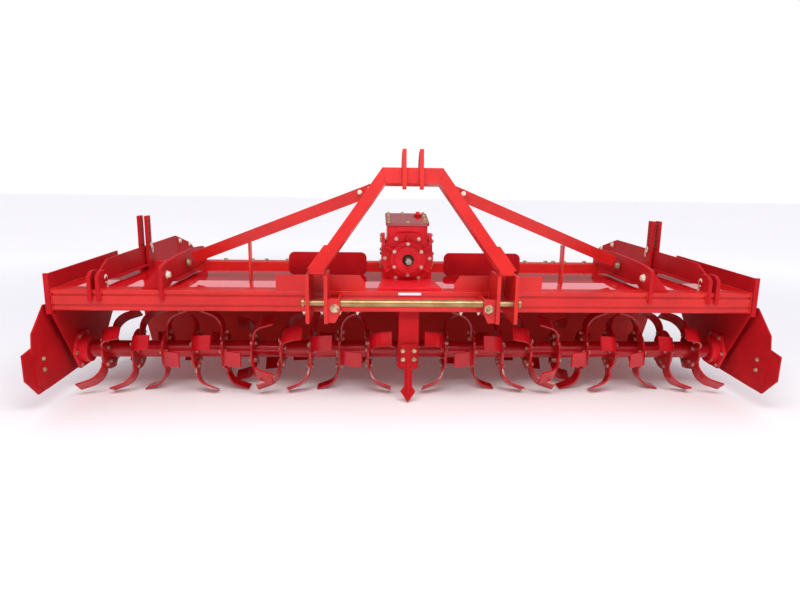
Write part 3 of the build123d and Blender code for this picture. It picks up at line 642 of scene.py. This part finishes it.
# turn of each flange's blades from upright, from the middle outwards, and the flanges whose
# lower blade reaches outwards
flange_turns = (60, 90, 66, 52, 30, 90, 66, 90, 66, 52)
reach_out = (False, True, True, True, False, False, False, True, True, True)
first_flange, last_flange = 0.226, side_plate_inner - 0.162
flange_step = (last_flange - first_flange) / (len(flange_turns) - 1)
# a blade's two holes, across its root and out from the axis; then how far the blade's outer
# face and the flange's bare face stand from the flange's middle
root_holes = ((-0.022, 0.070), (0.010, 0.102))
blade_face, flange_face = 0.016, 0.006
nut_m14 = hex_bolt(0.014, washer=False)
blade_bolts = []
for side in (-1, 1):
    for index, (turn, out) in enumerate(zip(flange_turns, reach_out)):
        middle = side * (first_flange + index * flange_step)
        lower = 1 if out else -1
        for quarter, reach in enumerate((-1, lower, 1, -lower)):
            hand = side * reach
            swing = Matrix.Rotation(math.radians(turn + 90 * quarter), 4, "X")
            for across, along in root_holes:
                root = rotor_axis + swing @ Vector((0, across, along))
                for way, stand in ((hand, blade_face), (-hand, flange_face)):
                    blade_bolts.append((root + Vector((middle + way * stand, 0, 0)), (way, 0, 0)))
# plated steel sprayed over with the rotor and rubbed bright in places: red and pale blotches
sprayed_steel = finish("sprayed_steel", ("A02A24", "E2BFA4"), 0.016, 0.004, 0.0001,
                       (0.3, 0.45), metallic=0.2)
fasten("blade_bolts", "rotor", nut_m14, blade_bolts, sprayed_steel)

# ---- End bearings ----
# Cast iron housings that carry the rotor's ends and are painted like the gearbox. Each is
# held to the inside of its side plate by a ring of six bolts.
bearing_x, bearing_ring = side_plate_inner - 0.014, 0.098
fasten("bearing_bolts", "frame", bolt_m12, [
    ((side * bearing_x, rotor_axis.y + back, rotor_axis.z + up), (-side, 0, 0))
    for side in (-1, 1) for up, back in around(bearing_ring, range(0, 360, 60))
], sprayed_steel)

# ---- Trailing board ----
# Curved sheet steel hinged behind the rear beam, with a round bar along its lower edge.
# It is coated with the machine and levels the soil behind the rotor.
dress(red_powder_coat, "trailing_board", "board_hinges")
# a bead closes the lower end of each hinge strap, one strap on each side of a hinge's lug
hinge_row = (-1.5, -0.75, 0, 0.75, 1.5)
strap_starts, strap_width = (-0.065, 0.025), 0.040
strap_y, strap_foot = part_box("board_hinges")[1].y + 0.0005, 0.580
weld("board_welds", "board", [
    ((hinge + start, strap_y, strap_foot), (hinge + start + strap_width, strap_y, strap_foot))
    for hinge in hinge_row for start in strap_starts
], sides=(1,))

# every place has its own copy by now, so the patterns themselves are taken away
for pattern in (bolt_m10, bolt_m12, bolt_m16, bolt_m20, nut_m14, stud_m12, stud_end, linch,
                breather):
    bpy.data.objects.remove(pattern)

# ---- Floor, light and camera ----
# A pale studio floor with painted light: it glows faintly, though it is no lamp.
# One wide lamp high over the front and a bright ceiling band all round.
bpy.ops.object.select_all(action="DESELECT")
bpy.ops.mesh.primitive_plane_add(size=60, location=(0, 0, 0))
floor = bpy.context.object
floor.name = "studio_floor"
# matt white floor paint, even all over; the soft shadow under the machine stays, as the painted
# glow is weakest there
floor_paint_and_glow = finish("pale_floor_painted_glow", ("FAFAFA", "FFFFFF"), 3.0, 0.05, 0.0001, (0.5, 0.7))
# painted light: the floor glows a little, more so away from the machine where the lamp's light
# falls off, and so fades into the backdrop
floor_tree = floor_paint_and_glow.node_tree
floor_surface = floor_tree.nodes["Principled BSDF"]
floor_surface.inputs["Emission Color"].default_value = (1, 1, 1, 1)
floor_place = add_node(floor_tree, "ShaderNodeTexCoord")
distance = add_node(floor_tree, "ShaderNodeVectorMath", {"operation": "LENGTH"},
                    {"Vector": (floor_place, "Object")})
glow = add_node(floor_tree, "ShaderNodeMapRange",
                {"From Min": 2.4, "From Max": 7.0, "To Min": 0.06, "To Max": 0.36},
                {"Value": (distance, "Value")})
floor_tree.links.new(glow.outputs["Result"], floor_surface.inputs["Emission Strength"])
floor.data.materials.append(floor_paint_and_glow)

# white overhead and dim near the horizon, where a hall would stand; only the backdrop that
# the lens itself meets is white all the way down
world = bpy.data.worlds.new("studio")
bpy.context.scene.world = world
world.use_nodes = True
studio = world.node_tree
ambient = studio.nodes["Background"]
ambient.inputs["Strength"].default_value = 1.3
heading = add_node(studio, "ShaderNodeTexCoord")
height_parts = add_node(studio, "ShaderNodeSeparateXYZ", None,
                        {"Vector": (heading, "Generated")})
band = add_node(studio, "ShaderNodeValToRGB", None, {"Fac": (height_parts, "Z")})
band.color_ramp.elements.new(0.55)
for stop, position, colour in zip(band.color_ramp.elements, (0.370, 0.382, 0.55),
                                  ("7A6C6C", "FCEEF8", "B4B6BE")):
    stop.position = position
    stop.color = linear(colour)
studio.links.new(band.outputs["Color"], ambient.inputs["Color"])
backdrop = add_node(studio, "ShaderNodeBackground", {"Color": (1, 1, 1, 1), "Strength": 1.0})
seen = add_node(studio, "ShaderNodeLightPath")
shown = add_node(studio, "ShaderNodeMixShader", None,
                 {0: (seen, "Is Camera Ray"), 1: (ambient, 0), 2: (backdrop, 0)})
studio.links.new(shown.outputs[0], studio.nodes["World Output"].inputs["Surface"])

key_place, key_aim = Vector((0.0, -3.9, 4.7)), Vector((0, -0.3, 0.5))
bpy.ops.object.light_add(type="AREA", location=key_place)
key_lamp = bpy.context.object
key_lamp.name = "key_lamp"
key_lamp.data.shape = "RECTANGLE"
key_lamp.data.size = 6.0
key_lamp.data.size_y = 1.4
key_lamp.data.energy = 240
key_lamp.rotation_euler = (key_aim - key_place).to_track_quat("-Z", "Y").to_euler()

# degrees: turned about the upright, tilted down from level, rolled about the line of sight
camera_turn, camera_tilt, camera_roll = -2.555, 11.399, 0.816
bpy.ops.object.camera_add(location=(-0.200, -4.0147, 1.263))
camera = bpy.context.object
camera.rotation_euler = (
    Matrix.Rotation(math.radians(camera_turn), 3, "Z")
    @ Matrix.Rotation(math.radians(90 - camera_tilt), 3, "X")
    @ Matrix.Rotation(math.radians(camera_roll), 3, "Z")
).to_euler()
camera.data.sensor_width = 36
camera.data.lens = 27.9
bpy.context.scene.camera = camera
bpy.context.scene.view_settings.view_transform = "Standard"
